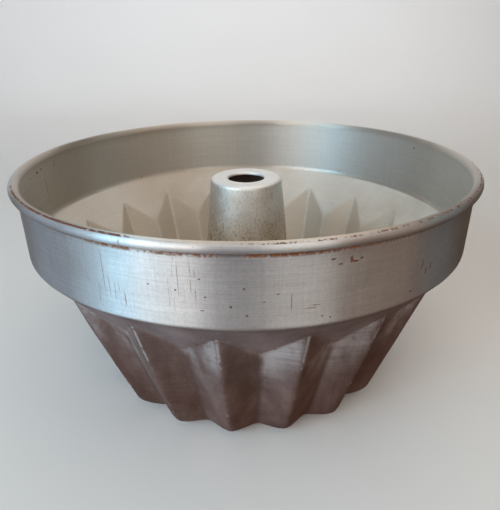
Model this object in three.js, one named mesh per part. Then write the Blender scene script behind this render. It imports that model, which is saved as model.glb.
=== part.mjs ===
// Fluted tube pan: a drawn tinplate body, a folded-in centre tube and a wire inside the rolled rim.
// Millimetres, +Z up. The origin is the middle of the base, on the surface that the pan stands on.
import * as THREE from 'three';

// Sheet and fits
const sheet = 0.6; // thickness of the tinplate
const clearance = 0.3; // gap left between pieces that touch

// Rim and collar
const panRadius = 125; // outside of the rolled rim
const panHeight = 129.5; // top of the rolled rim
const wireDiameter = 3;
const beadOverhang = 0.8; // from the collar's outside to the middle of the rim wire
const neckLean = 30; // degrees that the collar bends inward under the rim wire
const collarHeight = 37; // from the shoulder's corner to the top of the rim
const collarDraft = 0.8; // degrees that the collar narrows downward

// Shoulder and flutes
const shoulderSlope = 50; // degrees up from the horizontal
const shoulderBend = 5.4; // every bend is the radius on its hollow side
const shoulderDrop = 11; // from the shoulder's corner down to the ridge tops
const fluteCount = 18;
const fluteDepth = 8.1; // from ridge to valley, along a radius
const fluteLean = 19.3; // degrees that the flutes lean outward
const baseBend = 13.4; // where the flutes turn under into the floor

// Centre tube
const tubeBelowRim = 11.4; // from the top of the rim down to the tube's crown
const tubeTopRadius = 20.3; // outside of the tube at its crown
const tubeTaper = 5.7; // degrees that the tube widens downward
const crownBend = 1.6;
const crownHoleRadius = 10.5;
const crownLip = 0.5; // straight length of the lip turned down into the crown hole
const crownLipBend = 0.5;

// Seam between the tube and the floor
const seamHeight = 1.6; // from the table up to the seam's lowest point
const hemOverlap = 3; // how far the tube's hem reaches up outside the floor's lip
const hemRoundness = 0.9; // share of a full half-round fold
const lipBend = 1.2; // where the floor turns down into its lip
const seatWidth = 2; // flat of the raised ring of floor around the tube
const seatSlopeRun = 10; // width of the slope from that ring down to the floor
const seatBend = 6;

// Facets
const columnsPerFlute = 4; // even, so that ridges and valleys both have a column
const tubeSides = 48;
const wireSides = 8;
const curlSteps = 9;
const wideBendSteps = 4;
const smallBendSteps = 2;

const tan = (degrees) => Math.tan(THREE.MathUtils.degToRad(degrees));
const cos = (degrees) => Math.cos(THREE.MathUtils.degToRad(degrees));
const point = (radius, height) => new THREE.Vector2(radius, height);

// A corner of a path in the half-plane of radius and height. A corner with no bend stays sharp.
function corner(radius, height, bend = 0, steps = smallBendSteps) {
  return { at: point(radius, height), bend, steps };
}

// Where the line through a and b meets the line through c and d.
function crossing(a, b, c, d) {
  const along = b.clone().sub(a);
  const other = d.clone().sub(c);
  const share = c.clone().sub(a).cross(other) / along.cross(other);
  return a.clone().addScaledVector(along, share);
}

// The path on the sheet's other face, to the left of the given one, with each stretch's own distance.
function leftFace(corners, distances) {
  const stretches = distances.map((distance, i) => {
    const along = corners[i + 1].at.clone().sub(corners[i].at).normalize();
    const left = point(-along.y, along.x).multiplyScalar(distance);
    return [corners[i].at.clone().add(left), corners[i + 1].at.clone().add(left)];
  });
  return corners.map((old, i) => {
    if (i === 0) return { ...old, at: stretches[0][0] };
    if (i === stretches.length) return { ...old, at: stretches[i - 1][1] };
    return { ...old, at: crossing(...stretches[i - 1], ...stretches[i]) };
  });
}

// The path's points with each corner turned into an arc. A left turn is one sheet wider on the right face.
function bendCorners(corners, isRightFace) {
  const points = [];
  corners.forEach(({ at, bend, steps }, i) => {
    if (bend === 0) {
      points.push(at);
      return;
    }
    const arrive = at.clone().sub(corners[i - 1].at).normalize();
    const leave = corners[i + 1].at.clone().sub(at).normalize();
    const turn = Math.atan2(arrive.cross(leave), arrive.dot(leave));
    const radius = (turn > 0) === isRightFace ? bend + sheet : bend;
    const start = at.clone().addScaledVector(arrive, -radius * Math.tan(Math.abs(turn) / 2));
    const sideways = point(-arrive.y, arrive.x).multiplyScalar(Math.sign(turn) * radius);
    const centre = start.clone().add(sideways);
    for (let step = 0; step <= steps; step++) {
      points.push(start.clone().rotateAround(centre, (turn * step) / steps));
    }
  });
  return points;
}

// Rim: the wire's middle, and the radius of the curl's face towards the wire
const curlRadius = wireDiameter / 2 + clearance;
const beadRadius = curlRadius + sheet;
const rimMiddle = point(panRadius - beadRadius, panHeight - beadRadius);
const collarRadius = rimMiddle.x - beadOverhang;

// The curl runs from the neck over the top and stops short of the collar, leaving a slit.
function curl(radius) {
  const start = Math.PI + THREE.MathUtils.degToRad(neckLean);
  const pastBottom = Math.asin((beadOverhang - clearance) / beadRadius);
  const end = -Math.PI / 2 - pastBottom;
  const points = [];
  for (let step = 0; step <= curlSteps; step++) {
    const angle = THREE.MathUtils.lerp(start, end, step / curlSteps);
    points.push(point(radius * Math.cos(angle), radius * Math.sin(angle)).add(rimMiddle));
  }
  return points;
}

// Shoulder: where the collar's outside meets the slope
const shoulderHeight = panHeight - collarHeight;
const shoulder = point(collarRadius - (rimMiddle.y - shoulderHeight) * tan(collarDraft), shoulderHeight);

// Flutes: radii of the ridges and valleys, carried straight down to the table
const ridgeTop = shoulderHeight - shoulderDrop;
const ridgeRadius = shoulder.x - shoulderDrop / tan(shoulderSlope) - ridgeTop * tan(fluteLean);
const valleyRadius = ridgeRadius - fluteDepth;
const halfPitch = Math.PI / fluteCount;
const columns = fluteCount * columnsPerFlute;

// Radius of a flat facet, at an angle counted from its valley.
function facetRadius(fromValley) {
  const toRidge = halfPitch - fromValley;
  const spread = valleyRadius * Math.sin(fromValley) + ridgeRadius * Math.sin(toRidge);
  return (valleyRadius * ridgeRadius * Math.sin(halfPitch)) / spread;
}

// Tube: its outside at a height, and the seam's heights from the hem up to the floor's raised ring
const tubeHeight = panHeight - tubeBelowRim;
const tubeRadius = (height) => tubeTopRadius + (tubeHeight - height) * tan(tubeTaper);
const outFromTube = (distance, height) => tubeRadius(height) + distance / cos(tubeTaper);
const lipEnd = seamHeight + sheet + clearance;
const hemTop = lipEnd + hemOverlap;
const seatHeight = hemTop + clearance + lipBend;
const lipFace = clearance + sheet; // from the tube's outside to the lip's outside
const hemFace = 2 * lipFace; // from the tube's outside to the hem's outside
const hemBend = hemRoundness * (sheet / 2 + clearance);

// Raised ring: its outer edge leaves room for the bends on both sides of its flat
const seatSlope = Math.atan2(seatHeight, seatSlopeRun);
const seatBendReach = (seatBend + sheet) * Math.tan(seatSlope / 2);
const seatEdge = outFromTube(lipFace, seatHeight) + lipBend + sheet + seatWidth + seatBendReach;

// The body's outside on one meridian, from the floor's lip to the neck under the rim.
function bodyCorners(footRadius) {
  const fluteAbove = point(footRadius + tan(fluteLean), 1);
  const slopeBelow = point(shoulder.x - 1 / tan(shoulderSlope), shoulder.y - 1);
  const fluteTop = crossing(point(footRadius, 0), fluteAbove, shoulder, slopeBelow);
  const neckEnd = curl(curlRadius)[0];
  const neckBelow = point(neckEnd.x + tan(neckLean), neckEnd.y - 1);
  const neck = crossing(neckEnd, neckBelow, shoulder, point(collarRadius, rimMiddle.y));
  return [
    corner(outFromTube(lipFace, lipEnd), lipEnd),
    corner(outFromTube(lipFace, seatHeight), seatHeight, lipBend),
    corner(seatEdge, seatHeight, seatBend),
    corner(seatEdge + seatSlopeRun, 0, seatBend),
    corner(footRadius, 0, baseBend, wideBendSteps),
    corner(fluteTop.x, fluteTop.y),
    corner(shoulder.x, shoulder.y, shoulderBend, wideBendSteps),
    corner(neck.x, neck.y),
    corner(neckEnd.x, neckEnd.y),
  ];
}

// Thickness along each stretch between those corners. A facet crosses its meridian at a slant, so it is more.
function bodyThickness() {
  const ridgePoint = point(ridgeRadius, 0);
  const valleyPoint = point(valleyRadius, 0).rotateAround(point(0, 0), halfPitch);
  const facetWidth = ridgePoint.distanceTo(valleyPoint);
  const widthAround = (ridgeRadius + valleyRadius) * Math.sin(halfPitch / 2);
  const onFacet = (sheet * facetWidth) / widthAround;
  return [sheet, sheet, sheet, sheet, onFacet, sheet, sheet, sheet];
}

// Closed outline of the sheet on one meridian, counter-clockwise.
function bodyOutline(footRadius) {
  const outside = bodyCorners(footRadius);
  const inside = leftFace(outside, bodyThickness());
  const outsidePoints = [...bendCorners(outside, true), ...curl(curlRadius).slice(1)];
  const insidePoints = [...bendCorners(inside, false), ...curl(beadRadius).slice(1)];
  return [...outsidePoints, ...insidePoints.reverse()];
}

// The body: one outline for each column of a flute, joined all the way round.
function bodyGeometry() {
  const outlines = Array.from({ length: columns }, (_, column) => {
    const inFlute = column % columnsPerFlute;
    const fromValley = Math.min(inFlute, columnsPerFlute - inFlute) / columnsPerFlute;
    return bodyOutline(facetRadius(fromValley * 2 * halfPitch));
  });
  const positions = outlines.flatMap((outline, column) => {
    const angle = (2 * Math.PI * column) / columns - Math.PI / 2;
    return outline.flatMap(({ x, y }) => [x * Math.cos(angle), x * Math.sin(angle), y]);
  });
  const ring = outlines[0].length;
  const triangles = [];
  for (let column = 0; column < columns; column++) {
    const here = column * ring;
    const next = ((column + 1) % columns) * ring;
    for (let i = 0; i < ring; i++) {
      const j = (i + 1) % ring;
      triangles.push(here + i, next + i, here + j);
      triangles.push(here + j, next + i, next + j);
    }
  }
  const geometry = new THREE.BufferGeometry();
  geometry.setAttribute('position', new THREE.Float32BufferAttribute(positions, 3));
  geometry.setIndex(triangles);
  geometry.computeVertexNormals();
  return geometry;
}

// The tube's inside, from the lip in the crown hole down to the hem that hooks round the floor's lip.
function tubeCorners() {
  const crownUnder = tubeHeight - sheet;
  const crownLipEnd = crownUnder - crownLipBend - crownLip;
  return [
    corner(crownHoleRadius + sheet, crownLipEnd),
    corner(crownHoleRadius + sheet, crownUnder, crownLipBend),
    corner(outFromTube(-sheet, crownUnder), crownUnder, crownBend, wideBendSteps),
    corner(outFromTube(-sheet, seamHeight), seamHeight, hemBend),
    corner(outFromTube(hemFace, seamHeight), seamHeight, hemBend),
    corner(outFromTube(hemFace, hemTop), hemTop),
  ];
}

// The tube: its closed outline turned about the axis.
function tubeGeometry() {
  const inside = tubeCorners();
  const outside = leftFace(inside, Array(inside.length - 1).fill(sheet));
  const outline = [...bendCorners(inside, true), ...bendCorners(outside, false).reverse()];
  outline.push(outline[0].clone());
  return new THREE.LatheGeometry(outline, tubeSides).rotateX(Math.PI / 2);
}

// The rim wire: a ring that lies free inside the curl.
function wireGeometry() {
  return new THREE.TorusGeometry(rimMiddle.x, wireDiameter / 2, wireSides, columns);
}

function piece(name, geometry, color, roughness) {
  const material = new THREE.MeshStandardMaterial({ color, roughness, metalness: 1 });
  const mesh = new THREE.Mesh(geometry, material);
  mesh.name = name;
  return mesh;
}

const panBody = piece('pan_body', bodyGeometry(), 0xb4b2ae, 0.36);
const centreTube = piece('centre_tube', tubeGeometry(), 0xa8a49c, 0.42);
const rimWire = piece('rim_wire', wireGeometry(), 0x77716b, 0.55);
rimWire.position.z = rimMiddle.y;

const pan = new THREE.Group();
pan.add(panBody, centreTube, rimWire);

export default pan;
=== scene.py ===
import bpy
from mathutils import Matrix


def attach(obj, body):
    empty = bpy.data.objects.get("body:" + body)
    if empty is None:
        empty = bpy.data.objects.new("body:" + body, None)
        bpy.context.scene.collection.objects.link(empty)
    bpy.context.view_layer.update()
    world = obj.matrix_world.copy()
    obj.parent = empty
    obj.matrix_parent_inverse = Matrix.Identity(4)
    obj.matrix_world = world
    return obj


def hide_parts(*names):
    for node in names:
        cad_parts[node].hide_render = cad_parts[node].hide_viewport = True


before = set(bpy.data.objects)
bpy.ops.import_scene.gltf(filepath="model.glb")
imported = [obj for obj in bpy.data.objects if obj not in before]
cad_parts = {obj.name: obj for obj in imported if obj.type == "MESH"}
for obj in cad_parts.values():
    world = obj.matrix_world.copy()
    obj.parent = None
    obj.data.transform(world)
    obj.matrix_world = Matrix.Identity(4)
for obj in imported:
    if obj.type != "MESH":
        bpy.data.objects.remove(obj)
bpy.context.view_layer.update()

import math

import bpy
import numpy as np
from mathutils import Quaternion, Vector, noise

# Lengths are in metres and angles in degrees unless a name says otherwise.
# An angle round the pan is counted from the front (-Y) towards the right (+X).

# Sheet and fits
SHEET = 0.0006
CLEARANCE = 0.0003

# Rim and collar
PAN_RADIUS = 0.125
PAN_HEIGHT = 0.1295
WIRE_RADIUS = 0.0015
BEAD_OVERHANG = 0.0008
NECK_LEAN = 30
COLLAR_HEIGHT = 0.037
COLLAR_DRAFT = 0.8

# Shoulder and flutes, with the small roundings that a press leaves
SHOULDER_SLOPE = 50
SHOULDER_BEND = 0.0022
SHOULDER_INNER_BEND = 0.005
FLUTE_INNER_BEND = 0.010
SHOULDER_DROP = 0.011
FLUTE_COUNT = 18
FLUTE_DEPTH = 0.0081
FLUTE_LEAN = 19.3
RIDGE_TOP_BEND = 0.002
VALLEY_TOP_BEND = 0.022
BASE_BEND = 0.0134
VALLEY_SHARE = 0.15  # part of a facet's width that its rounded edge in the valley takes up
RIDGE_SHARE = 0.11  # the same on the ridge
FOOT_ROUNDING = 0.0009  # how far a ridge's foot is pressed in, where the ridge is rounder than above
FOOT_ROUNDING_HEIGHT = 0.035
FOOT_ROUNDING_ANGLE = 3.2
FOOT_ROUNDING_RADIUS = 0.058  # it fades in from here outward, so the floor stays flat
FOOT_ROUNDING_FADE = 0.006

# Centre tube
TUBE_BELOW_RIM = 0.0114
TUBE_TOP_RADIUS = 0.0203
TUBE_TAPER = 5.7
CROWN_BEND = 0.0016
CROWN_HOLE_RADIUS = 0.0105
CROWN_LIP = 0.0005
CROWN_LIP_BEND = 0.0005

# Folded seam between the tube and the floor
SEAM_HEIGHT = 0.0016
HEM_OVERLAP = 0.003
HEM_BEND = 0.00054
LIP_BEND = 0.0012
SEAT_WIDTH = 0.002
SEAT_SLOPE_RUN = 0.010
SEAT_BEND = 0.006

# Shallow waves of a much used sheet, and where they fade in and out
WIDE_WAVE_DEPTH = 0.00055
WIDE_WAVE_SIZE = 0.055
SMALL_WAVE_DEPTH = 0.00022
SMALL_WAVE_SIZE = 0.018
SMALL_WAVE_FADE = 0.010
TUBE_WAVE_DEPTH = 0.00020
TUBE_WAVE_SIZE = 0.022
TUBE_WAVE_FADE = 0.02
WAVE_START_HEIGHT = 0.012
WAVE_HEIGHT_FADE = 0.02
WAVE_START_RADIUS = 0.070
WAVE_RADIUS_FADE = 0.015
WAVE_END_BELOW_RIM = 0.004
WAVE_END_FADE = 0.010

# Fineness of the meshes
HALF_FLUTE_STEPS = 12
TUBE_COLUMNS = 144
POINT_SPACING = 0.0035
CURL_STEPS = 26
BEND_STEPS = 7
SHARP_EDGE_ANGLE = 48

# Heights, radii and an angle that are used in several places
CURL_RADIUS = WIRE_RADIUS + CLEARANCE
BEAD_RADIUS = CURL_RADIUS + SHEET
RIM_RADIUS = PAN_RADIUS - BEAD_RADIUS
RIM_HEIGHT = PAN_HEIGHT - BEAD_RADIUS
COLLAR_RADIUS = RIM_RADIUS - BEAD_OVERHANG
SHOULDER_HEIGHT = PAN_HEIGHT - COLLAR_HEIGHT
SHOULDER_RADIUS = COLLAR_RADIUS - (RIM_HEIGHT - SHOULDER_HEIGHT) * math.tan(math.radians(COLLAR_DRAFT))
HALF_PITCH = 180 / FLUTE_COUNT
RIDGE_TOP = SHOULDER_HEIGHT - SHOULDER_DROP
TUBE_HEIGHT = PAN_HEIGHT - TUBE_BELOW_RIM
LIP_END = SEAM_HEIGHT + SHEET + CLEARANCE
HEM_TOP = LIP_END + HEM_OVERLAP
SEAT_HEIGHT = HEM_TOP + CLEARANCE + LIP_BEND


def tan(degrees):
    return math.tan(math.radians(degrees))


def spot(radius, height):
    """A point of the half-plane of radius and height. Either may hold one number for each column."""
    return np.stack(np.broadcast_arrays(radius, height), axis=-1).astype(float)


def cross(a, b):
    return a[..., 0] * b[..., 1] - a[..., 1] * b[..., 0]


def unit(a):
    return a / np.linalg.norm(a, axis=-1, keepdims=True)


def turned_left(a):
    return np.stack([-a[..., 1], a[..., 0]], axis=-1)


def crossing(a, b, c, d):
    """Where the line through a and b meets the line through c and d."""
    share = cross(c - a, d - c) / cross(b - a, d - c)
    return a + (b - a) * share[..., None]


def left_face(corners, distances):
    """The corners of the sheet's other face, to the left of the given one."""
    stretches = []
    for (start, _), (end, _), distance in zip(corners, corners[1:], distances):
        aside = turned_left(unit(end - start)) * distance
        stretches.append((start + aside, end + aside))
    moved = [stretches[0][0]]
    for before, after in zip(stretches, stretches[1:]):
        moved.append(crossing(*before, *after))
    moved.append(stretches[-1][1])
    return [(place, bend) for place, (_, bend) in zip(moved, corners)]


def bent(corners, is_right_face):
    """The path with each bend turned into an arc, wider by the sheet on the bend's outer side."""
    path = []
    for i, (place, bend) in enumerate(corners):
        if np.max(bend) == 0:
            path.append(place)
            continue
        arrive = unit(place - corners[i - 1][0])
        leave = unit(corners[i + 1][0] - place)
        turn = np.arctan2(cross(arrive, leave), np.sum(arrive * leave, axis=-1))
        wider = np.where((turn > 0) == is_right_face, SHEET, 0)
        radius = (bend + wider)[..., None]
        start = place - arrive * radius * np.tan(np.abs(turn) / 2)[..., None]
        arm = -turned_left(arrive) * np.sign(turn)[..., None] * radius
        centre = start - arm
        for step in range(BEND_STEPS + 1):
            part = (turn * step / BEND_STEPS)[..., None]
            path.append(centre + arm * np.cos(part) + turned_left(arm) * np.sin(part))
    return path


def filled(path):
    """The path with more points along its long straight stretches."""
    dense = [path[0]]
    for start, end in zip(path, path[1:]):
        length = np.mean(np.linalg.norm(end - start, axis=-1))
        steps = max(1, round(length / POINT_SPACING))
        for step in range(1, steps + 1):
            dense.append(start + (end - start) * step / steps)
    return dense


def curl(radius):
    """The rolled rim from the neck over the top to the slit: points, and their angles round the wire."""
    past_bottom = math.asin((BEAD_OVERHANG - CLEARANCE) / BEAD_RADIUS)
    angles = np.linspace(math.pi + math.radians(NECK_LEAN), -math.pi / 2 - past_bottom, CURL_STEPS)
    points = [spot(RIM_RADIUS + radius * math.cos(a), RIM_HEIGHT + radius * math.sin(a)) for a in angles]
    return points, angles


def rising(value, start, run):
    """0 up to the start, 1 from a run later on, and a straight line between."""
    return min(1, max(0, (value - start) / run))


def wobble(place, size):
    """A smooth random number about 0 at a point of space, with lumps of that size."""
    return noise.noise(Vector(place) / size)


def loft(name, path, column_angles, dent):
    """A closed mesh: the closed path, one copy at each column's angle, pushed in or out by dent."""
    columns, ring = len(column_angles), len(path)
    outline = np.stack([np.broadcast_to(p, (columns, 2)) for p in path], axis=1)
    sine, cosine = np.sin(column_angles)[:, None], np.cos(column_angles)[:, None]
    radius, height = outline[..., 0], outline[..., 1]
    places = np.stack([radius * sine, -radius * cosine, height], axis=-1).reshape(-1, 3)
    pushed = np.array([dent(place) for place in places])
    outward = np.hypot(places[:, 0], places[:, 1])
    places[:, :2] *= (1 + pushed / outward)[:, None]
    here = (np.arange(columns)[:, None] * ring + np.arange(ring)).astype(int)
    there = np.roll(here, -1, axis=0)
    faces = np.stack([here, there, np.roll(there, -1, axis=1), np.roll(here, -1, axis=1)], axis=-1)
    mesh = bpy.data.meshes.new(name)
    mesh.from_pydata(places.tolist(), [], faces.reshape(-1, 4).tolist())
    mesh.shade_smooth()
    mesh.set_sharp_from_angle(angle=math.radians(SHARP_EDGE_ANGLE))
    made = bpy.data.objects.new(name, mesh)
    bpy.context.scene.collection.objects.link(made)
    return made


def paint_points(made, name, values, columns):
    """Stores one number for each point of the path, the same in every column, for the material to read."""
    attribute = made.data.attributes.new(name, "FLOAT", "POINT")
    attribute.data.foreach_set("value", np.tile(values, columns).astype(np.float32))


def flute_columns():
    """Angle of each column and how far across its facet it lies, from 0 in a valley to 1 on a ridge."""
    eased = 0.5 - 0.5 * np.cos(np.linspace(0, math.pi, HALF_FLUTE_STEPS + 1))
    across = np.concatenate([eased[:-1], eased[:0:-1]])
    half_pitch = math.radians(HALF_PITCH)
    inside_flute = np.concatenate([eased[:-1], 2 - eased[:0:-1]]) * half_pitch
    starts = np.arange(FLUTE_COUNT) * 2 * half_pitch
    return (starts[:, None] + inside_flute).ravel(), np.tile(across, FLUTE_COUNT)


def rounded(across):
    """The facet's share with a rounded ridge and valley."""
    from_ridge = 1 - across
    valley = (across ** 2 + VALLEY_SHARE ** 2) / (2 * VALLEY_SHARE)
    ridge = 1 - (from_ridge ** 2 + RIDGE_SHARE ** 2) / (2 * RIDGE_SHARE)
    return np.where(across < VALLEY_SHARE, valley, np.where(from_ridge < RIDGE_SHARE, ridge, across))


def flute_foot(across):
    """Radius of the flutes at height 0 if they ran straight down, on flat facets with rounded edges."""
    ridge = SHOULDER_RADIUS - SHOULDER_DROP / tan(SHOULDER_SLOPE) - RIDGE_TOP * tan(FLUTE_LEAN)
    valley = ridge - FLUTE_DEPTH
    half_pitch = math.radians(HALF_PITCH)
    from_valley = rounded(across) * half_pitch
    spread = valley * np.sin(from_valley) + ridge * np.sin(half_pitch - from_valley)
    return valley * ridge * math.sin(half_pitch) / spread


def tube_radius(height):
    return TUBE_TOP_RADIUS + (TUBE_HEIGHT - height) * tan(TUBE_TAPER)


def out_from_tube(distance, height):
    return tube_radius(height) + distance / math.cos(math.radians(TUBE_TAPER))


def body_corners(across):
    """The body's outside in each column, from the floor's lip at the tube to the neck under the rim."""
    foot = flute_foot(across)
    flute_top_bend = RIDGE_TOP_BEND + (VALLEY_TOP_BEND - RIDGE_TOP_BEND) * (1 - across) ** 2
    lip = CLEARANCE + SHEET
    slope = math.atan2(SEAT_HEIGHT, SEAT_SLOPE_RUN)
    bend_reach = (SEAT_BEND + SHEET) * math.tan(slope / 2)
    seat_edge = out_from_tube(lip, SEAT_HEIGHT) + LIP_BEND + SHEET + SEAT_WIDTH + bend_reach
    level = np.zeros_like(foot)
    shoulder = spot(level + SHOULDER_RADIUS, SHOULDER_HEIGHT)
    below_shoulder = shoulder - [1, tan(SHOULDER_SLOPE)]
    foot_spot = spot(foot, 0)
    flute_top = crossing(foot_spot, foot_spot + [tan(FLUTE_LEAN), 1], shoulder, below_shoulder)
    neck_end = level[:, None] + curl(CURL_RADIUS)[0][0]
    collar_top = spot(level + COLLAR_RADIUS, RIM_HEIGHT)
    neck = crossing(neck_end, neck_end + [tan(NECK_LEAN), -1], shoulder, collar_top)
    return [
        (spot(level + out_from_tube(lip, LIP_END), LIP_END), 0),
        (spot(level + out_from_tube(lip, SEAT_HEIGHT), SEAT_HEIGHT), LIP_BEND),
        (spot(level + seat_edge, SEAT_HEIGHT), SEAT_BEND),
        (spot(level + seat_edge + SEAT_SLOPE_RUN, 0), SEAT_BEND),
        (foot_spot, BASE_BEND),
        (flute_top, flute_top_bend),
        (shoulder, SHOULDER_BEND),
        (neck, 0),
        (neck_end, 0),
    ]


def foot_rounding(place, radius):
    """How far a point is pressed in because it lies near a ridge's rounded foot."""
    x, y, z = place
    from_valley = math.degrees(math.atan2(x, -y)) % (2 * HALF_PITCH)
    aside = abs(from_valley - HALF_PITCH) / FOOT_ROUNDING_ANGLE
    low = max(0, 1 - z / FOOT_ROUNDING_HEIGHT)
    on_side = rising(radius, FOOT_ROUNDING_RADIUS, FOOT_ROUNDING_FADE)
    return FOOT_ROUNDING * max(0, 1 - aside ** 2) ** 2 * low * on_side


def body_dent(place):
    """Rounded feet, and shallow waves of a much used sheet, gone at the floor, the seam and the rim."""
    x, y, z = place
    radius = math.hypot(x, y)
    above_floor = rising(z, WAVE_START_HEIGHT, WAVE_HEIGHT_FADE)
    on_wall = above_floor * rising(radius, WAVE_START_RADIUS, WAVE_RADIUS_FADE)
    below_rim = rising(RIM_HEIGHT - WAVE_END_BELOW_RIM - z, 0, WAVE_END_FADE)
    wide = WIDE_WAVE_DEPTH * wobble(place, WIDE_WAVE_SIZE)
    small = SMALL_WAVE_DEPTH * wobble(place, SMALL_WAVE_SIZE)
    small *= rising(SHOULDER_HEIGHT - z, 0, SMALL_WAVE_FADE)
    return (wide + small) * on_wall * below_rim - foot_rounding(place, radius)


# Places of two bends in the list of the body's corners
FLUTE_TOP_CORNER = 5
SHOULDER_CORNER = 6

# Stands for an angle round the wire where the sheet isn't on the bead
OFF_THE_BEAD = -999.0


def make_body():
    angles, across = flute_columns()
    outer_corners = body_corners(across)
    inner_corners = left_face(outer_corners, [SHEET] * (len(outer_corners) - 1))
    flute_top, flute_top_bend = inner_corners[FLUTE_TOP_CORNER]
    inner_corners[FLUTE_TOP_CORNER] = (flute_top, np.maximum(flute_top_bend, FLUTE_INNER_BEND))
    inner_corners[SHOULDER_CORNER] = (inner_corners[SHOULDER_CORNER][0], SHOULDER_INNER_BEND)
    outer_curl, curl_angles = curl(CURL_RADIUS)
    inner_curl, _ = curl(BEAD_RADIUS)
    outer = filled(bent(outer_corners, True))
    inner = filled(bent(inner_corners, False))
    path = outer + outer_curl[1:] + inner_curl[:0:-1] + inner[::-1]
    made = loft("body", path, angles, body_dent)
    outside = np.concatenate([np.ones(len(outer)), np.ones(2 * CURL_STEPS - 2), np.zeros(len(inner))])
    round_wire = np.full(len(path), OFF_THE_BEAD)
    first = len(outer) + CURL_STEPS - 1
    round_wire[first:first + CURL_STEPS - 1] = np.degrees(curl_angles[:0:-1])
    paint_points(made, "outside", outside, len(angles))
    paint_points(made, "round_wire", round_wire, len(angles))
    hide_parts("pan_body")
    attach(made, "root")
    return made


def tube_corners():
    """The tube's inside, from the lip in the crown hole down to the hem round the floor's lip."""
    crown_under = TUBE_HEIGHT - SHEET
    lip_radius = CROWN_HOLE_RADIUS + SHEET
    hem_face = 2 * (CLEARANCE + SHEET)
    return [
        (spot(lip_radius, crown_under - CROWN_LIP_BEND - CROWN_LIP), 0),
        (spot(lip_radius, crown_under), CROWN_LIP_BEND),
        (spot(out_from_tube(-SHEET, crown_under), crown_under), CROWN_BEND),
        (spot(out_from_tube(-SHEET, SEAM_HEIGHT), SEAM_HEIGHT), HEM_BEND),
        (spot(out_from_tube(hem_face, SEAM_HEIGHT), SEAM_HEIGHT), HEM_BEND),
        (spot(out_from_tube(hem_face, HEM_TOP), HEM_TOP), 0),
    ]


def tube_dent(place):
    """Faint unevenness of the drawn tube, gone at the seam."""
    above_seam = rising(place[2], SEAT_HEIGHT, TUBE_WAVE_FADE)
    return TUBE_WAVE_DEPTH * wobble(place, TUBE_WAVE_SIZE) * above_seam


def make_tube():
    inner_corners = tube_corners()
    outer_corners = left_face(inner_corners, [SHEET] * (len(inner_corners) - 1))
    inner = filled(bent(inner_corners, True))
    outer = filled(bent(outer_corners, False))
    angles = np.linspace(0, 2 * math.pi, TUBE_COLUMNS, endpoint=False)
    made = loft("tube", inner + outer[::-1], angles, tube_dent)
    hidden = np.concatenate([np.ones(len(inner)), np.zeros(len(outer))])
    paint_points(made, "hidden", hidden, len(angles))
    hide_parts("centre_tube")
    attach(made, "root")
    return made


class Shader:
    """The nodes of a material or world. Most methods add a node and give back the output with its result."""

    def __init__(self, owner):
        self.owner = owner
        owner.use_nodes = True
        self.tree = owner.node_tree
        self.tree.nodes.clear()

    def add(self, kind, inputs=(), **settings):
        node = self.tree.nodes.new("ShaderNode" + kind)
        for name, value in settings.items():
            setattr(node, name, value)
        for name, value in dict(inputs).items():
            if isinstance(value, bpy.types.NodeSocket):
                self.tree.links.new(value, node.inputs[name])
            else:
                node.inputs[name].default_value = value
        return node

    def math(self, operation, *values):
        return self.add("Math", enumerate(values), operation=operation).outputs[0]

    def product(self, *values):
        result = values[0]
        for value in values[1:]:
            result = self.math("MULTIPLY", result, value)
        return result

    def most(self, *values):
        result = values[0]
        for value in values[1:]:
            result = self.math("MAXIMUM", result, value)
        return result

    def ramp(self, value, low, high, to_low=0.0, to_high=1.0, course="SMOOTHSTEP"):
        """Runs from to_low at low to to_high at high, and stays there."""
        inputs = {"Value": value, "From Min": low, "From Max": high, "To Min": to_low, "To Max": to_high}
        return self.add("MapRange", inputs, interpolation_type=course).outputs["Result"]

    def stretched(self, vector, stretch):
        return self.add("VectorMath", {0: vector, 1: stretch}, operation="MULTIPLY").outputs[0]

    def noise(self, vector, scale, detail=2.0, roughness=0.5):
        inputs = {"Vector": vector, "Scale": scale, "Detail": detail, "Roughness": roughness}
        return self.add("TexNoise", inputs).outputs[0]

    def mix(self, share, a, b):
        """Colour a turning into colour b as share goes from 0 to 1."""
        return self.add("Mix", {0: share, 6: a, 7: b}, data_type="RGBA").outputs[2]

    def between(self, share, a, b):
        """Number a turning into number b as share goes from 0 to 1."""
        return self.add("Mix", {0: share, 2: a, 3: b}, data_type="FLOAT").outputs[0]

    def layered(self, start, layers):
        """A number that the share of each layer in turn pulls towards the layer's own value."""
        result = start
        for share, value in layers:
            result = self.between(share, result, value)
        return result

    def profile(self, value, stops):
        """A number read off straight lines between stops, each a place and a height from 0 to 1."""
        node = self.add("ValToRGB", {0: value})
        elements = node.color_ramp.elements
        while len(elements) < len(stops):
            elements.new(0.5)
        for element, (place, height) in zip(elements, stops):
            element.position = place
            element.color = (height, height, height, 1)
        return node.outputs[0]

    def bump(self, height, distance, strength=1.0, normal=None):
        inputs = {"Height": height, "Distance": distance, "Strength": strength}
        if normal is not None:
            inputs["Normal"] = normal
        return self.add("Bump", inputs).outputs[0]

    def finish(self, **inputs):
        """Ends a material: inputs are the Principled shader's, with spaces written as underscores."""
        named = {name.replace("_", " "): value for name, value in inputs.items()}
        shader = self.add("BsdfPrincipled", named)
        self.add("OutputMaterial", {"Surface": shader.outputs[0]})
        return self.owner


def material_nodes(name):
    return Shader(bpy.data.materials.new(name))


class PanPlace:
    """Where a point of the surface lies on the pan, as outputs for a material."""

    def __init__(self, shader):
        self.position = shader.add("TexCoord").outputs["Object"]
        x, y, self.height = shader.add("SeparateXYZ", {0: self.position}).outputs
        towards_front = shader.math("MULTIPLY", y, -1.0)
        self.angle = shader.math("DEGREES", shader.math("ARCTAN2", x, towards_front))


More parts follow.
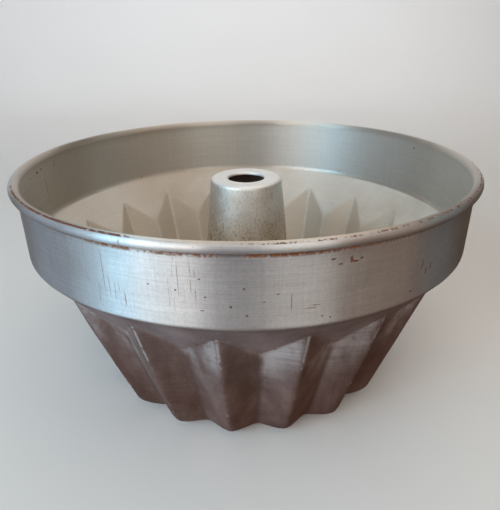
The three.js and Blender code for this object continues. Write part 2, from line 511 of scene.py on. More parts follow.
RUST_DARK = (0.075, 0.024, 0.012, 1)
RUST_ORANGE = (0.33, 0.115, 0.028, 1)
TIN_BRIGHT = (0.74, 0.74, 0.73, 1)
TIN_DULL = (0.63, 0.62, 0.605, 1)
TIN_INSIDE = (0.77, 0.755, 0.71, 1)
WALL_DARK_TONE = (0.50, 0.45, 0.355, 1)
# Tin of the ledge, paler than the wall's: painted light on its upward face
LEDGE_TIN_AND_LIGHT = (0.90, 0.87, 0.82, 1)
LEDGE_STAIN = (0.58, 0.485, 0.375, 1)
TIN_RIM = (0.76, 0.70, 0.62, 1)
# Pale colour for painted highlights on the edges of the pleats inside
PAINTED_HIGHLIGHT = (0.92, 0.89, 0.82, 1)
SHOULDER_TIN = (0.56, 0.50, 0.485, 1)
FLUTE_TOP = (0.48, 0.40, 0.375, 1)
# Darker brown at the foot of the flutes: painted shade and painted reflection
FLUTE_FOOT_SHADE = (0.37, 0.255, 0.22, 1)
# Brown of tarnish, also laid on as painted shade on the facets turned away from the windows
FLUTE_TARNISH_AND_SHADE = (0.26, 0.15, 0.105, 1)
FLUTE_INSIDE = (0.80, 0.72, 0.61, 1)
# Dark brown for painted shade in the valleys of the flutes, under the collar's edge and in the slit under the
# bead
PAINTED_SHADE = (0.13, 0.095, 0.075, 1)

# Scratches down the collar: angle, top and bottom height, half width, in degrees and millimetres
SCRATCHES = [
    (-47.7, 118, 102, 0.20), (-44.2, 122, 103, 0.18), (-42.0, 124, 119, 0.22), (-38.6, 124, 100, 0.30),
    (-32.0, 112, 100, 0.18), (-30.7, 124, 99, 0.28), (-29.6, 113, 98, 0.22), (-28.4, 110, 98, 0.22),
    (-27.4, 110, 97, 0.20), (-26.3, 107, 97, 0.42), (-24.6, 106, 97, 0.18), (-15.5, 122, 104, 0.20),
    (-13.2, 124, 101, 0.22), (-12.4, 124, 101, 0.22), (4.5, 109, 99, 0.32), (88, 122, 101, 0.22),
    (152, 124, 106, 0.22), (-118, 124, 104, 0.22),
]

# How thick the finer scratches between them lie, by angle from the front
FINE_SCRATCHES = [
    (-180, 0.3), (-60, 0.3), (-49, 0.7), (-36, 0.6), (-33, 1.0), (-25, 1.0), (-23, 0.2), (-19, 0.2),
    (-18, 0.8), (-11, 0.8), (-9, 0.1), (2, 0.1), (4, 0.5), (6, 0.5), (8, 0.2), (28, 0.3), (31, 0.8),
    (37, 0.8), (40, 0.3), (180, 0.3),
]

# Flecks of rust on the collar: angle, height, half width and half height, in degrees and millimetres
FLECKS = [
    (-21.2, 109.7, 0.5, 0.4), (-16.1, 108.5, 0.5, 0.45), (-11.6, 113.9, 0.7, 0.25), (-11.4, 100.3, 1.0, 0.3),
    (-10.7, 106.4, 0.6, 0.4), (-6.2, 102.5, 0.5, 0.7), (-3.8, 110.2, 0.5, 0.4), (-3.4, 98.7, 0.65, 0.55),
    (-0.4, 104.6, 0.9, 0.2), (2.1, 107.7, 0.6, 0.4), (7.8, 100.6, 3.5, 0.17), (9.0, 101.7, 2.4, 0.15),
    (10.3, 96.3, 0.5, 0.45), (11.9, 95.3, 0.55, 0.45), (11.8, 120.1, 1.3, 0.4), (13.2, 117.7, 1.3, 0.45),
    (15.9, 118.1, 2.2, 0.6), (15.3, 119.0, 0.8, 1.8), (17.3, 118.9, 0.8, 0.6), (30.5, 97.2, 0.8, 0.5),
    (33.2, 108.0, 0.5, 3.2), (34.6, 103.9, 0.5, 1.9), (36.0, 105.5, 0.45, 2.4), (74, 103, 0.7, 0.6),
    (97, 116, 1.1, 0.5), (134, 104, 0.7, 0.7), (167, 117, 1.2, 0.4), (-141, 101, 0.8, 0.5),
]

# Rust spots and a long scratch on the face towards the cake, written as the flecks are
INSIDE_FLECKS = [
    (-94.5, 121.2, 2.0, 1.0), (-97.3, 121.6, 1.2, 0.8), (-89.3, 120.6, 0.8, 0.6), (-104.8, 120.6, 0.35, 1.8),
    (-98.6, 109, 0.3, 11), (-142.1, 93.2, 1.0, 0.5), (140.3, 94.5, 0.9, 0.5), (110.2, 122.6, 1.1, 0.5),
]

# Round the rim, by angle from the front: rust along the bead's crest and in the slit under it, as shares,
# and where the worn line of the crest lies on the bead, as a share of half a turn from its outermost line
CREST_RUST = [
    (-180, 0.4), (-95, 0.25), (-76, 0.35), (-66, 0.75), (-45, 0.95), (-29, 1.0), (-25, 0.9), (-21, 0.2),
    (-6, 0.3), (2, 0.65), (8, 0.45), (14, 0.5), (22, 0.62), (55, 0.7), (80, 0.5), (180, 0.4),
]
SLIT_RUST = [
    (-180, 0.4), (-60, 0.1), (-35, 0.25), (-32, 1.0), (-25, 0.95), (-23, 0.3), (-18, 0.65), (-10, 0.6),
    (-6, 0.25), (-3, 0.9), (6, 1.0), (12, 0.7), (22, 0.4), (30, 0.45), (34, 0.2), (90, 0.35), (180, 0.4),
]
CREST_PLACE = [
    (-180, 0.4), (-60, 0.40), (-29, 0.37), (-10, 0.32), (0, 0.31), (30, 0.34), (60, 0.38), (180, 0.4),
]

# How far the wall inside is darker and browner, and how far the ledge is stained, by angle from the front; the
# ledge is left unstained at the left as painted light
WALL_DARKENING = [
    (-180, 0.50), (-150, 0.50), (-125, 0.40), (-100, 0.65), (-60, 0.8),
    (0, 0.5), (80, 0.4), (100, 0.35), (118, 0.1), (140, 0.0), (163, 0.1), (180, 0.5),
]
LEDGE_STAINS_AND_LIGHT = [
    (-180, 0.8), (-150, 0.75), (-128, 0.15), (-95, 0.0), (0, 0.4), (100, 0.75), (150, 0.5), (180, 0.8),
]

# How far the flutes are scuffed, by angle from the front
SCUFFS = [
    (-180, 0.5), (-70, 0.4), (-50, 0.2), (-22, 0.15), (-19, 0.35), (-14, 0.5), (-11, 0.85), (-9, 0.2),
    (-1, 0.2), (1, 1.0), (9, 1.0), (11, 0.15), (19, 0.2), (21, 0.8), (29, 0.8), (31, 0.15), (70, 0.4),
    (180, 0.5),
]

# How far the facets of the flutes are tarnished, by angle from the front; most on the facets turned away from
# the windows, where it is painted shade
TARNISH_AND_SHADE = [
    (-180, 0.25), (-150, 0.1), (-120, 0.3), (-90, 0.15), (-52, 0.5), (-41, 0.6), (-39, 0.35), (-31, 0.3),
    (-29, 0.5), (-21, 0.5), (-19, 0.2), (-11, 0.2), (-9, 0.3), (-1, 0.3), (1, 0.1), (9, 0.1), (11, 0.6),
    (19, 0.6), (21, 0.0), (29, 0.0), (31, 0.4), (39, 0.4), (50, 0.35), (60, 0.15), (90, 0.3), (120, 0.1),
    (150, 0.3), (180, 0.25),
]


def by_angle(shader, place, stops):
    """A number that follows the stops round the pan, each an angle from the front and a height."""
    turned = shader.math("MULTIPLY_ADD", place.angle, 1 / 360, 0.5)
    return shader.profile(turned, [(angle / 360 + 0.5, height) for angle, height in stops])


class CollarMarks:
    """Scratches and flecks laid out on the collar as if it were unrolled."""

    def __init__(self, shader, place):
        self.shader = shader
        self.arc_per_degree = 1000 * COLLAR_RADIUS * math.radians(1)
        arc = shader.math("MULTIPLY", place.angle, self.arc_per_degree)
        height = shader.math("MULTIPLY", place.height, 1000.0)
        flat = shader.add("CombineXYZ", {0: arc, 1: height}).outputs[0]
        jitter = shader.add("TexNoise", {"Vector": flat, "Scale": 1.1, "Detail": 2.0}).outputs[1]
        shift = shader.add("VectorMath", {0: jitter, 1: (0.5, 0.5, 0.5)}, operation="SUBTRACT").outputs[0]
        self.wavy = self.shifted(flat, shift, 0.25)
        self.ragged = self.shifted(flat, shift, 1.0)

    def shifted(self, flat, shift, share):
        inputs = {0: shift, 1: (share, share, 0), 2: flat}
        return self.shader.add("VectorMath", inputs, operation="MULTIPLY_ADD").outputs[0]

    def inside_ovals(self, flat, ovals):
        """1 well inside any of the ovals, fading at its edge to the thin film of rust that lies everywhere."""
        deepest = 0.0
        for angle, middle, half_width, half_height in ovals:
            inputs = {"Vector": flat, "Location": (angle * self.arc_per_degree, middle, 0),
                      "Scale": (half_width, half_height, 1)}
            local = self.shader.add("Mapping", inputs, vector_type="TEXTURE").outputs[0]
            far = self.shader.add("VectorMath", {0: local}, operation="LENGTH").outputs["Value"]
            deepest = self.shader.math("MAXIMUM", deepest, self.shader.math("SUBTRACT", 1.0, far))
        return self.shader.ramp(deepest, -0.15, 0.45)

    def scratches(self):
        return self.inside_ovals(self.wavy, [(angle, (top + low) / 2, half_width, (top - low) / 2)
                                             for angle, top, low, half_width in SCRATCHES])

    def flecks(self, ovals):
        return self.inside_ovals(self.ragged, ovals)


class BodyZones:
    """Which part of the body a point lies in, as outputs: each zone's share is 1 inside it and 0 outside."""

    def __init__(self, s):
        self.place = PanPlace(s)
        height = self.place.height
        self.outside = s.add("Attribute", attribute_name="outside").outputs["Fac"]
        self.inside = s.math("SUBTRACT", 1.0, self.outside)

        # Across a facet from 0 in a valley to 1 on a ridge, and above the crease at the tops of the flutes
        self.across = s.math("DIVIDE", s.math("PINGPONG", self.place.angle, HALF_PITCH), HALF_PITCH)
        valley_top = RIDGE_TOP - FLUTE_DEPTH / (1 / tan(SHOULDER_SLOPE) - tan(FLUTE_LEAN))
        crease = s.math("MULTIPLY_ADD", self.across, RIDGE_TOP - valley_top, valley_top)
        self.above_crease = s.math("SUBTRACT", height, crease)

        # Flutes and shoulder outside, and the ledge with all below it, the pleats and the corner inside
        below_collar = s.ramp(height, SHOULDER_HEIGHT + 0.0006, SHOULDER_HEIGHT - 0.0028)
        self.on_flutes = s.product(self.outside, below_collar)
        below_wall = s.ramp(height, SHOULDER_HEIGHT + 0.0008, SHOULDER_HEIGHT - 0.0006)
        self.on_ledge = s.product(self.inside, below_wall)
        self.in_flutes = s.product(self.on_ledge, s.ramp(self.above_crease, 0.0010, -0.0020))
        from_corner = s.math("ABSOLUTE", s.math("SUBTRACT", height, SHOULDER_HEIGHT + 0.0003))
        self.in_corner = s.product(self.inside, s.ramp(from_corner, 0.0020, 0.0008))

        # The bead, how many degrees a point lies past its worn crest, and the strip on its inner side
        round_wire = s.add("Attribute", attribute_name="round_wire").outputs["Fac"]
        self.on_bead = s.ramp(round_wire, -300.0, -200.0)
        crest_place = s.math("MULTIPLY", by_angle(s, self.place, CREST_PLACE), 180.0)
        self.past_crest = s.math("SUBTRACT", round_wire, crest_place)
        self.inner_strip = s.ramp(self.past_crest, -3.0, 6.0)


class BodyTextures:
    """Spinning lines round the body, drawing lines down it, and noises that several of its looks share."""

    def __init__(self, s, position):
        self.lines_round = s.noise(s.stretched(position, (30, 30, 2600)), 1.0, 3.0, 0.6)
        self.lines_down = s.noise(s.stretched(position, (1100, 1100, 14)), 1.0, 3.0, 0.6)
        self.clouds = s.noise(position, 26.0, 4.0, 0.6)
        self.grain = s.noise(position, 900.0, 3.0, 0.65)
        self.rubbed = s.noise(s.stretched(position, (60, 60, 22)), 1.0, 4.0, 0.65)
        self.dashes = s.noise(position, 320.0, 3.0, 0.65)
        self.dots = s.noise(position, 750.0, 3.0, 0.6)


def zone_tin(s, zone, texture):
    """Tin of the collar, of the wall, ledge and pleats inside, and of the flutes."""
    tin = s.mix(s.ramp(texture.clouds, 0.35, 0.68), TIN_BRIGHT, TIN_DULL)
    # The wall inside darker and browner by angle
    wall_tin = s.mix(by_angle(s, zone.place, WALL_DARKENING), TIN_INSIDE, WALL_DARK_TONE)
    tin = s.mix(s.product(zone.inside, 0.9), tin, wall_tin)
    cloudy = s.ramp(texture.clouds, 0.30, 0.62, 0.5, 1.0)
    # The ledge stained by angle, and left unstained at the left as painted light where the most light falls
    stained = s.product(by_angle(s, zone.place, LEDGE_STAINS_AND_LIGHT), cloudy)
    tin = s.mix(zone.on_ledge, tin, s.mix(stained, LEDGE_TIN_AND_LIGHT, LEDGE_STAIN))
    tin = s.mix(zone.in_flutes, tin, FLUTE_INSIDE)
    # Darker and browner towards the foot of the flutes: painted shade with a painted reflection of a dark
    # brown floor
    flute_tin = s.mix(s.ramp(zone.above_crease, -0.055, -0.002), FLUTE_FOOT_SHADE, FLUTE_TOP)
    # Tarnish, with painted shade on the facets turned away from the windows
    flute_tin = s.mix(by_angle(s, zone.place, TARNISH_AND_SHADE), flute_tin, FLUTE_TARNISH_AND_SHADE)
    flute_tin = s.mix(s.ramp(zone.above_crease, -0.005, 0.006), flute_tin, SHOULDER_TIN)
    patchy = s.ramp(texture.rubbed, 0.7, 0.3, 0.86, 1.0)
    return s.mix(s.product(zone.on_flutes, patchy), tin, flute_tin)


def shaded(s, zone, texture, tin):
    """The tin made lighter and darker by its lines and grain, less so inside and on the bead."""
    shade = s.math("MULTIPLY", s.math("SUBTRACT", texture.lines_round, 0.5), 0.55)
    shade = s.math("MULTIPLY_ADD", s.math("SUBTRACT", texture.lines_down, 0.5), 0.22, shade)
    shade = s.math("MULTIPLY_ADD", s.math("SUBTRACT", texture.grain, 0.5), 0.40, shade)
    shade = s.product(shade, s.math("MULTIPLY_ADD", s.most(zone.inside, zone.on_bead), -0.45, 1.0))
    patches = s.product(zone.on_flutes, s.math("SUBTRACT", texture.rubbed, 0.5))
    shade = s.math("MULTIPLY_ADD", patches, 1.1, shade)
    shade = s.math("MULTIPLY_ADD", shade, s.math("MULTIPLY_ADD", zone.on_ledge, -0.3, 1.0), 1.0)
    return s.add("VectorMath", {0: tin, "Scale": shade}, operation="SCALE").outputs[0]


def flute_wear(s, zone, texture):
    """Scuffs on the tops of the flutes, and polish along their ridges."""
    near_top = s.ramp(zone.above_crease, -0.034, -0.004)
    near_top = s.product(near_top, s.ramp(zone.above_crease, 0.0012, -0.0004))
    scuff_share = s.math("MULTIPLY_ADD", by_angle(s, zone.place, SCUFFS), 0.35, texture.rubbed)
    streaks = s.ramp(texture.lines_round, 0.35, 0.60, 0.5, 1.0)
    scuffs = s.product(near_top, s.ramp(scuff_share, 0.55, 0.85), streaks)
    polish = s.math("ADD", texture.dashes, s.ramp(zone.above_crease, -0.034, -0.010, 0.0, 0.24))
    polish = s.product(s.ramp(zone.across, 0.945, 0.985), s.ramp(polish, 0.58, 0.68))
    polish = s.product(polish, s.ramp(zone.above_crease, 0.0006, -0.0006))
    return s.product(zone.on_flutes, s.most(s.product(scuffs, 0.85), s.product(polish, 0.65)))


def with_painted_shade(s, zone, texture, tin):
    """The tin with painted shade in the valleys of the flutes and under the collar's lower edge."""
    # Painted shade in the valleys, broken up in patches
    in_valley = s.product(zone.on_flutes, s.ramp(zone.across, 0.16, 0.0))
    in_valley = s.product(in_valley, s.ramp(texture.rubbed, 0.35, 0.65, 0.2, 0.55))
    in_valley = s.product(in_valley, s.ramp(zone.above_crease, -0.001, -0.006))
    tin = s.mix(in_valley, tin, PAINTED_SHADE)
    # Painted shade in a band just under the collar's lower edge
    under_edge = s.ramp(zone.place.height, SHOULDER_HEIGHT - 0.0045, SHOULDER_HEIGHT - 0.0015)
    return s.mix(s.product(zone.on_flutes, under_edge, 0.35), tin, PAINTED_SHADE)


def with_painted_edge_highlights(s, zone, texture, tin):
    """The tin with pale painted highlights along the edges of the pleats inside."""
    edges = s.most(s.ramp(zone.across, 0.93, 0.97), s.product(s.ramp(zone.across, 0.06, 0.02), 0.7))
    edges = s.product(zone.in_flutes, edges, s.ramp(texture.dashes, 0.38, 0.60, 0.25, 1.0))
    edges = s.product(edges, s.ramp(zone.place.height, 0.012, 0.030))
    return s.mix(s.product(edges, 0.8), tin, PAINTED_HIGHLIGHT)


def slit_band(s, zone, depth, full_depth):
    """A band at the slit under the bead. Downward it fades out from the full depth to the depth."""
    band = s.product(zone.outside, s.ramp(zone.place.height, RIM_HEIGHT - depth, RIM_HEIGHT - full_depth))
    return s.product(band, s.ramp(zone.place.height, RIM_HEIGHT - 0.0012, RIM_HEIGHT - 0.0019))


def with_rim(s, zone, tin):
    """The tin with a dull strip on the bead's inner side, and a line of painted shade in the slit under the
    bead.
    """
    tin = s.mix(s.product(zone.inner_strip, 0.9), tin, TIN_RIM)
    # Painted shade in the slit under the bead
    return s.mix(s.product(slit_band(s, zone, 0.0046, 0.0032), 0.5), tin, PAINTED_SHADE)


def crest_rust(s, zone, texture):
    """Rust along the bead's crest, wider where there is more of it."""
    amount = by_angle(s, zone.place, CREST_RUST)
    share = s.math("MULTIPLY", s.math("ADD", texture.dashes, texture.dots), 0.5)
    share = s.math("MULTIPLY_ADD", amount, 0.30, share)
    width = s.math("MULTIPLY_ADD", amount, 17.0, 5.0)
    from_crest = s.math("DIVIDE", s.math("ABSOLUTE", zone.past_crest), width)
    return s.product(s.ramp(from_crest, 1.0, 0.4), s.ramp(share, 0.62, 0.76))


def fold_rust(s, zone, texture):
    """Rust in the slit under the bead, and dots of it along the crease at the tops of the flutes."""
    slit_share = s.math("MULTIPLY_ADD", by_angle(s, zone.place, SLIT_RUST), 0.30, texture.dots)
    in_slit = s.product(slit_band(s, zone, 0.0052, 0.0036), s.ramp(slit_share, 0.57, 0.76))
    near_crease = s.ramp(s.math("ABSOLUTE", zone.above_crease), 0.0020, 0.0006)
    on_crease = s.product(zone.on_flutes, near_crease, s.ramp(texture.dashes, 0.56, 0.63))
    return s.most(in_slit, on_crease)


def scratch_rust(s, zone, texture, marks):
    """Rust in the scratches down the collar, both those of the list and the finer ones between them."""
    broken = s.ramp(s.noise(s.stretched(zone.place.position, (500, 500, 110)), 1.0, 2.0), 0.36, 0.52)
    coarse = s.product(marks.scratches(), broken, zone.outside, 0.65)
    fine_share = s.math("MULTIPLY_ADD", by_angle(s, zone.place, FINE_SCRATCHES), 0.12, texture.lines_down)
    on_collar = s.ramp(zone.place.height, SHOULDER_HEIGHT + 0.002, SHOULDER_HEIGHT + 0.006)
    fine = s.product(s.ramp(fine_share, 0.70, 0.78), broken, zone.outside, on_collar, 0.5)
    return s.most(coarse, fine)


def fleck_rust(s, zone, marks):
    outer = s.product(marks.flecks(FLECKS), zone.outside)
    inner = s.product(marks.flecks(INSIDE_FLECKS), zone.inside, 0.8)
    return s.most(outer, inner)


def rust_colour(s, zone, crest, flecks):
    """Orange in specks over dark rust, with less orange on the crest and in the flecks."""
    specks = s.noise(zone.place.position, 1500.0, 2.0, 0.6)
    darker = s.most(s.product(flecks, 0.6), s.product(crest, 0.7))
    orange = s.product(s.ramp(specks, 0.38, 0.62), s.math("SUBTRACT", 1.0, darker))
    return s.mix(orange, RUST_DARK, RUST_ORANGE)


def body_tinplate():
    s = material_nodes("body_tinplate_look")
    zone = BodyZones(s)
    texture = BodyTextures(s, zone.place.position)

    tin = shaded(s, zone, texture, zone_tin(s, zone, texture))
    worn = flute_wear(s, zone, texture)
    tin = s.mix(worn, tin, TIN_BRIGHT)
    tin = with_painted_shade(s, zone, texture, tin)
    tin = with_painted_edge_highlights(s, zone, texture, tin)
    tin = with_rim(s, zone, tin)

    marks = CollarMarks(s, zone.place)
    crest = crest_rust(s, zone, texture)
    flecks = fleck_rust(s, zone, marks)
    rust = s.most(crest, fold_rust(s, zone, texture), scratch_rust(s, zone, texture, marks), flecks)
    colour = s.mix(rust, tin, rust_colour(s, zone, crest, flecks))

    # Satin outside, duller inside and where it is worn, matt where it has rusted
    rough = s.layered(0.40, [
        (zone.on_flutes, 0.33), (worn, 0.60), (zone.on_bead, 0.28), (zone.inside, 0.58),
        (zone.on_ledge, 0.66), (zone.in_flutes, 0.55), (zone.in_corner, 0.34), (zone.inner_strip, 0.42),
    ])
    rough = s.math("MULTIPLY_ADD", s.math("SUBTRACT", texture.rubbed, 0.5), 0.20, rough)
    rough = s.between(rust, rough, 0.9)
    metallic = s.layered(1.0, [
        (zone.inside, 0.85), (zone.on_ledge, 0.12), (zone.in_flutes, 0.40), (zone.in_corner, 0.95),
        (zone.on_flutes, 0.94), (worn, 0.70), (rust, 0.0),
    ])
    anisotropic = s.math("MULTIPLY_ADD", zone.on_flutes, -0.6, 1.0)

    lines = s.math("MULTIPLY", texture.lines_down, 0.35)
    lines = s.math("ADD", s.math("MULTIPLY", texture.lines_round, 0.5), lines)
    normal = s.bump(lines, 0.00002)
    normal = s.bump(texture.grain, 0.00006, 0.5, normal)
    tangent = s.add("Tangent", direction_type="RADIAL", axis="Z").outputs[0]
    return s.finish(Base_Color=colour, Metallic=metallic, Roughness=rough, Normal=normal, Tangent=tangent,
                    Anisotropic=anisotropic, Anisotropic_Rotation=0.25)


TUBE_PALE = (0.78, 0.76, 0.72, 1)
TUBE_DULL = (0.66, 0.62, 0.56, 1)
# Paler tin of the crown: painted light on its upward face
CROWN_PAINTED_LIGHT = (0.90, 0.88, 0.85, 1)
TUBE_STAIN = (0.56, 0.45, 0.32, 1)
TUBE_SPECK = (0.17, 0.105, 0.05, 1)
# Soot inside the tube, darkened further as painted shade of the deep hole
TUBE_SOOT_AND_SHADE = (0.20, 0.145, 0.11, 1)


def tube_tinplate():
    s = material_nodes("tube_tinplate_look")
    place = PanPlace(s)
    hidden = s.add("Attribute", attribute_name="hidden").outputs["Fac"]
    on_crown = s.ramp(place.height, TUBE_HEIGHT - 0.0014, TUBE_HEIGHT - 0.0006)
    low_down = s.ramp(place.height, TUBE_HEIGHT - 0.008, TUBE_HEIGHT - 0.042)
    lines_down = s.noise(s.stretched(place.position, (900, 900, 30)), 1.0, 3.0, 0.6)
    clouds = s.noise(place.position, 60.0, 4.0, 0.6)
    tin = s.mix(s.ramp(clouds, 0.35, 0.65), TUBE_PALE, TUBE_DULL)
    tin = s.mix(s.product(low_down, s.ramp(clouds, 0.3, 0.6, 0.5, 1.0)), tin, TUBE_STAIN)

    # Speckles of age, thicker towards the foot, and soot on the face that the cake never touches, made darker
    # as painted shade deep in the hole
    specks = s.noise(s.stretched(place.position, (1, 1, 0.6)), 1000.0, 2.0, 0.6)
    speck_share = s.product(s.ramp(specks, 0.53, 0.64), s.math("MULTIPLY_ADD", low_down, 0.6, 0.25))
    speck_share = s.product(speck_share, s.math("MULTIPLY_ADD", on_crown, -0.8, 1.0))
    colour = s.mix(speck_share, tin, TUBE_SPECK)
    # Paler on the crown: painted light on the tube's upward face
    colour = s.mix(s.product(on_crown, 0.7), colour, CROWN_PAINTED_LIGHT)
    colour = s.mix(hidden, colour, TUBE_SOOT_AND_SHADE)

    rough = s.math("MULTIPLY_ADD", s.math("SUBTRACT", clouds, 0.5), 0.2, 0.50)
    rough = s.between(s.most(speck_share, hidden), rough, 0.75)
    metallic = s.math("MULTIPLY_ADD", s.most(speck_share, on_crown), -0.45, 0.95)
    normal = s.bump(lines_down, 0.00002)
    normal = s.bump(specks, 0.00006, 0.5, normal)
    tangent = s.add("Tangent", direction_type="RADIAL", axis="Z").outputs[0]
    return s.finish(Base_Color=colour, Metallic=metallic, Roughness=rough, Normal=normal, Tangent=tangent,
                    Anisotropic=0.3, Anisotropic_Rotation=0.25)


WIRE_BARE = (0.42, 0.39, 0.36, 1)
WIRE_RUST = (0.19, 0.065, 0.025, 1)


def wire_steel():
    s = material_nodes("wire_steel_look")
    place = PanPlace(s)
    rust = s.ramp(s.noise(place.position, 260.0, 4.0, 0.65), 0.45, 0.62)
    colour = s.mix(rust, WIRE_BARE, WIRE_RUST)
    rough = s.between(rust, 0.45, 0.85)
    metallic = s.between(rust, 1.0, 0.1)
    return s.finish(Base_Color=colour, Metallic=metallic, Roughness=rough, Normal=s.bump(rust, 0.00005))


FLOOR_PALE = (0.71, 0.69, 0.665, 1)
FLOOR_PALER = (0.75, 0.735, 0.715, 1)


def floor_paint():
    s = material_nodes("floor_paint")
    position = s.add("TexCoord").outputs["Object"]
    colour = s.mix(s.noise(position, 3.0), FLOOR_PALE, FLOOR_PALER)
    normal = s.bump(s.noise(position, 350.0), 0.0002, 0.2)
    return s.finish(Base_Color=colour, Roughness=0.55, Normal=normal)


FLOOR_REACH = 0.95
FLOOR_STEPS = 32
FLOOR_TIP_TURN = 0.03  # in radians, so that the floor's round front ends in a short edge
BACKDROP_REACH = 1.3
BACKDROP_STEPS = 16
BACKDROP_PLACE = 1.5
BACKDROP_BEND = 0.5
BACKDROP_HEIGHT = 2.0


def stage_strip(name, rows, paint):
    """A strip of the stage through rows from left to right, each given by its reach, depth and height."""
    places = [(x, y, z) for reach, y, z in rows for x in (-reach, reach)]
    faces = [(2 * i, 2 * i + 1, 2 * i + 3, 2 * i + 2) for i in range(len(rows) - 1)]
    mesh = bpy.data.meshes.new(name)
    mesh.from_pydata(places, [], faces)
    mesh.shade_smooth()
    made = bpy.data.objects.new(name, mesh)
    bpy.context.scene.collection.objects.link(made)
    made.data.materials.append(paint)
    return made


def make_stage():
    """A pale floor, which the metal doesn't mirror so that its flutes stay dark, and a backdrop."""
    paint = floor_paint()
    flat_end = BACKDROP_PLACE - BACKDROP_BEND
    round_front = [(FLOOR_REACH * math.sin(a), -FLOOR_REACH * math.cos(a), 0.0)
                   for a in np.linspace(FLOOR_TIP_TURN, math.pi / 2, FLOOR_STEPS)]
    floor = stage_strip("floor", round_front + [(FLOOR_REACH, flat_end, 0.0)], paint)
    floor.visible_glossy = False
    floor.visible_diffuse = False
    bend = [(BACKDROP_REACH, flat_end + BACKDROP_BEND * math.sin(a), BACKDROP_BEND * (1 - math.cos(a)))
            for a in np.linspace(0, math.pi / 2, BACKDROP_STEPS)]
    stage_strip("backdrop", bend + [(BACKDROP_REACH, BACKDROP_PLACE, BACKDROP_HEIGHT)], paint)


LIGHT_TARGET = Vector((0, 0, 0.08))
WINDOW_DISTANCE = 1.3
WINDOW_LOW = 0.03
WINDOW_HIGH = 0.95

# Panels round the pan: name, the angles between which it stands, and its glow in red, green and blue
WINDOWS = [
    ("window_edge", -118, -84, (0.30, 0.42, 0.58)),
    ("window_blue", -84, -68, (1.05, 1.60, 2.05)),
    ("window_cool", -68, -53, (3.00, 5.20, 6.80)),
    ("window_main", -53, -39, (4.90, 5.75, 6.30)),
    ("window_white", -39, -23, (3.80, 3.85, 3.90)),
    ("window_dim", -23, 5, (0.64, 0.66, 0.74)),
    ("doorway", 5, 34, (2.08, 2.08, 2.05)),
    ("warm_side", 34, 80, (0.38, 0.24, 0.16)),
    ("cool_side", 80, 104, (0.12, 0.19, 0.24)),
]


def soft_light(name, place, aim, width, height, glow, spread=180):
    """A rectangular panel. Its glow is its brightness, whatever its size."""
    lamp = bpy.data.lights.new(name, "AREA")
    lamp.shape = "RECTANGLE"
    lamp.size = width
    lamp.size_y = height
    lamp.energy = max(glow) * math.pi * width * height
    lamp.color = [part / max(glow) for part in glow]
    lamp.spread = math.radians(spread)
    made = bpy.data.objects.new(name, lamp)
    made.location = place
    made.rotation_mode = "QUATERNION"
    made.rotation_quaternion = (Vector(aim) - Vector(place)).to_track_quat("-Z", "Y")
    made.visible_camera = False
    bpy.context.scene.collection.objects.link(made)


def light_windows():
    for name, start, end, glow in WINDOWS:
        turn = math.radians((start + end) / 2)
        width = 2 * WINDOW_DISTANCE * tan((end - start) / 2)
        middle = (WINDOW_LOW + WINDOW_HIGH) / 2
        place = (WINDOW_DISTANCE * math.sin(turn), -WINDOW_DISTANCE * math.cos(turn), middle)
        soft_light(name, place, LIGHT_TARGET, width, WINDOW_HIGH - WINDOW_LOW, glow)


BELOW_LEFT = (0.148, 0.114, 0.127, 1)
BELOW_RIGHT = (0.064, 0.027, 0.016, 1)
ROOM_ABOVE = (0.070, 0.062, 0.035, 1)
BACKGROUND = (0.60, 0.59, 0.58, 1)
LEFT_END = -0.40  # sideways parts of the directions where the colour below starts and ends its change
RIGHT_END = 0.30
HORIZON_BLUR = 0.04


def light_room():
    """What the metal mirrors besides the panels: a dim room, brown below and cooler there at the left.

    The camera sees a plain pale background in its place.
    """
    world = bpy.data.worlds.new("room")
    s = Shader(world)
    direction = s.add("TexCoord").outputs["Generated"]
    sideways, _, upward = s.add("SeparateXYZ", {0: direction}).outputs
    to_right = s.ramp(sideways, LEFT_END, RIGHT_END, course="LINEAR")
    above = s.ramp(upward, -HORIZON_BLUR, HORIZON_BLUR, course="LINEAR")
    mirrored = s.mix(above, s.mix(to_right, BELOW_LEFT, BELOW_RIGHT), ROOM_ABOVE)
    seen_directly = s.add("LightPath").outputs["Is Camera Ray"]
    background = s.add("Background", {"Color": s.mix(seen_directly, mirrored, BACKGROUND)})
    s.add("OutputWorld", {"Surface": background.outputs[0]})
    bpy.context.scene.world = world


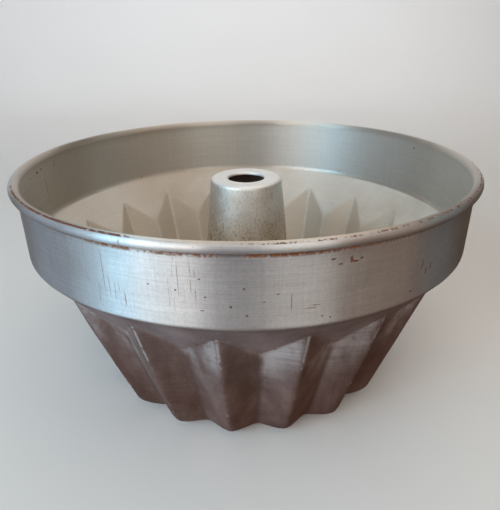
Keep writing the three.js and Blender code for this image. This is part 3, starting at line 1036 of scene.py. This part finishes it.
CEILING_PLACE = (0.42, -0.1, 1.5)
CEILING_AIM = (0.42, -0.1, 0)
CEILING_WIDTH = 1.7
CEILING_DEPTH = 1.9
CEILING_GLOW = (1.20, 1.12, 1.06)
BACKDROP_LIGHT_PLACE = (0, 0.75, 1.6)
BACKDROP_LIGHT_AIM = (0, 1.5, 0.7)
BACKDROP_LIGHT_WIDTH = 2.4
BACKDROP_LIGHT_DEPTH = 0.4
BACKDROP_LIGHT_GLOW = (2.6, 2.65, 2.85)
BACKDROP_LIGHT_SPREAD = 110


def light_studio():
    """Cool windows at the left, a warm wide panel overhead, a bright backdrop, and a dim room."""
    light_windows()
    soft_light("ceiling", CEILING_PLACE, CEILING_AIM, CEILING_WIDTH, CEILING_DEPTH, CEILING_GLOW)
    soft_light("backdrop_light", BACKDROP_LIGHT_PLACE, BACKDROP_LIGHT_AIM, BACKDROP_LIGHT_WIDTH,
               BACKDROP_LIGHT_DEPTH, BACKDROP_LIGHT_GLOW, BACKDROP_LIGHT_SPREAD)
    light_room()
    bpy.context.scene.view_settings.view_transform = "Standard"


CAMERA_EYE = Vector((-0.0159, -0.2837, 0.1982))
CAMERA_TARGET = Vector((0.0017, -0.0001, 0.0684))
CAMERA_ROLL = -0.57
FOCAL_PIXELS = 505
LONG_SIDE_PIXELS = 510
SENSOR_MM = 36


def make_camera():
    camera = bpy.data.cameras.new("camera")
    camera.sensor_width = SENSOR_MM
    camera.lens = SENSOR_MM * FOCAL_PIXELS / LONG_SIDE_PIXELS
    camera.clip_start = 0.01
    made = bpy.data.objects.new("camera", camera)
    made.location = CAMERA_EYE
    made.rotation_mode = "QUATERNION"
    looking = (CAMERA_TARGET - CAMERA_EYE).to_track_quat("-Z", "Y")
    made.rotation_quaternion = looking @ Quaternion((0, 0, 1), math.radians(CAMERA_ROLL))
    bpy.context.scene.collection.objects.link(made)
    bpy.context.scene.camera = made


body = make_body()
body.data.materials.append(body_tinplate())
tube = make_tube()
tube.data.materials.append(tube_tinplate())
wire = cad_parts["rim_wire"]
wire.data.materials.clear()
wire.data.materials.append(wire_steel())
make_stage()
light_studio()
make_camera()

bpy.context.view_layer.update()
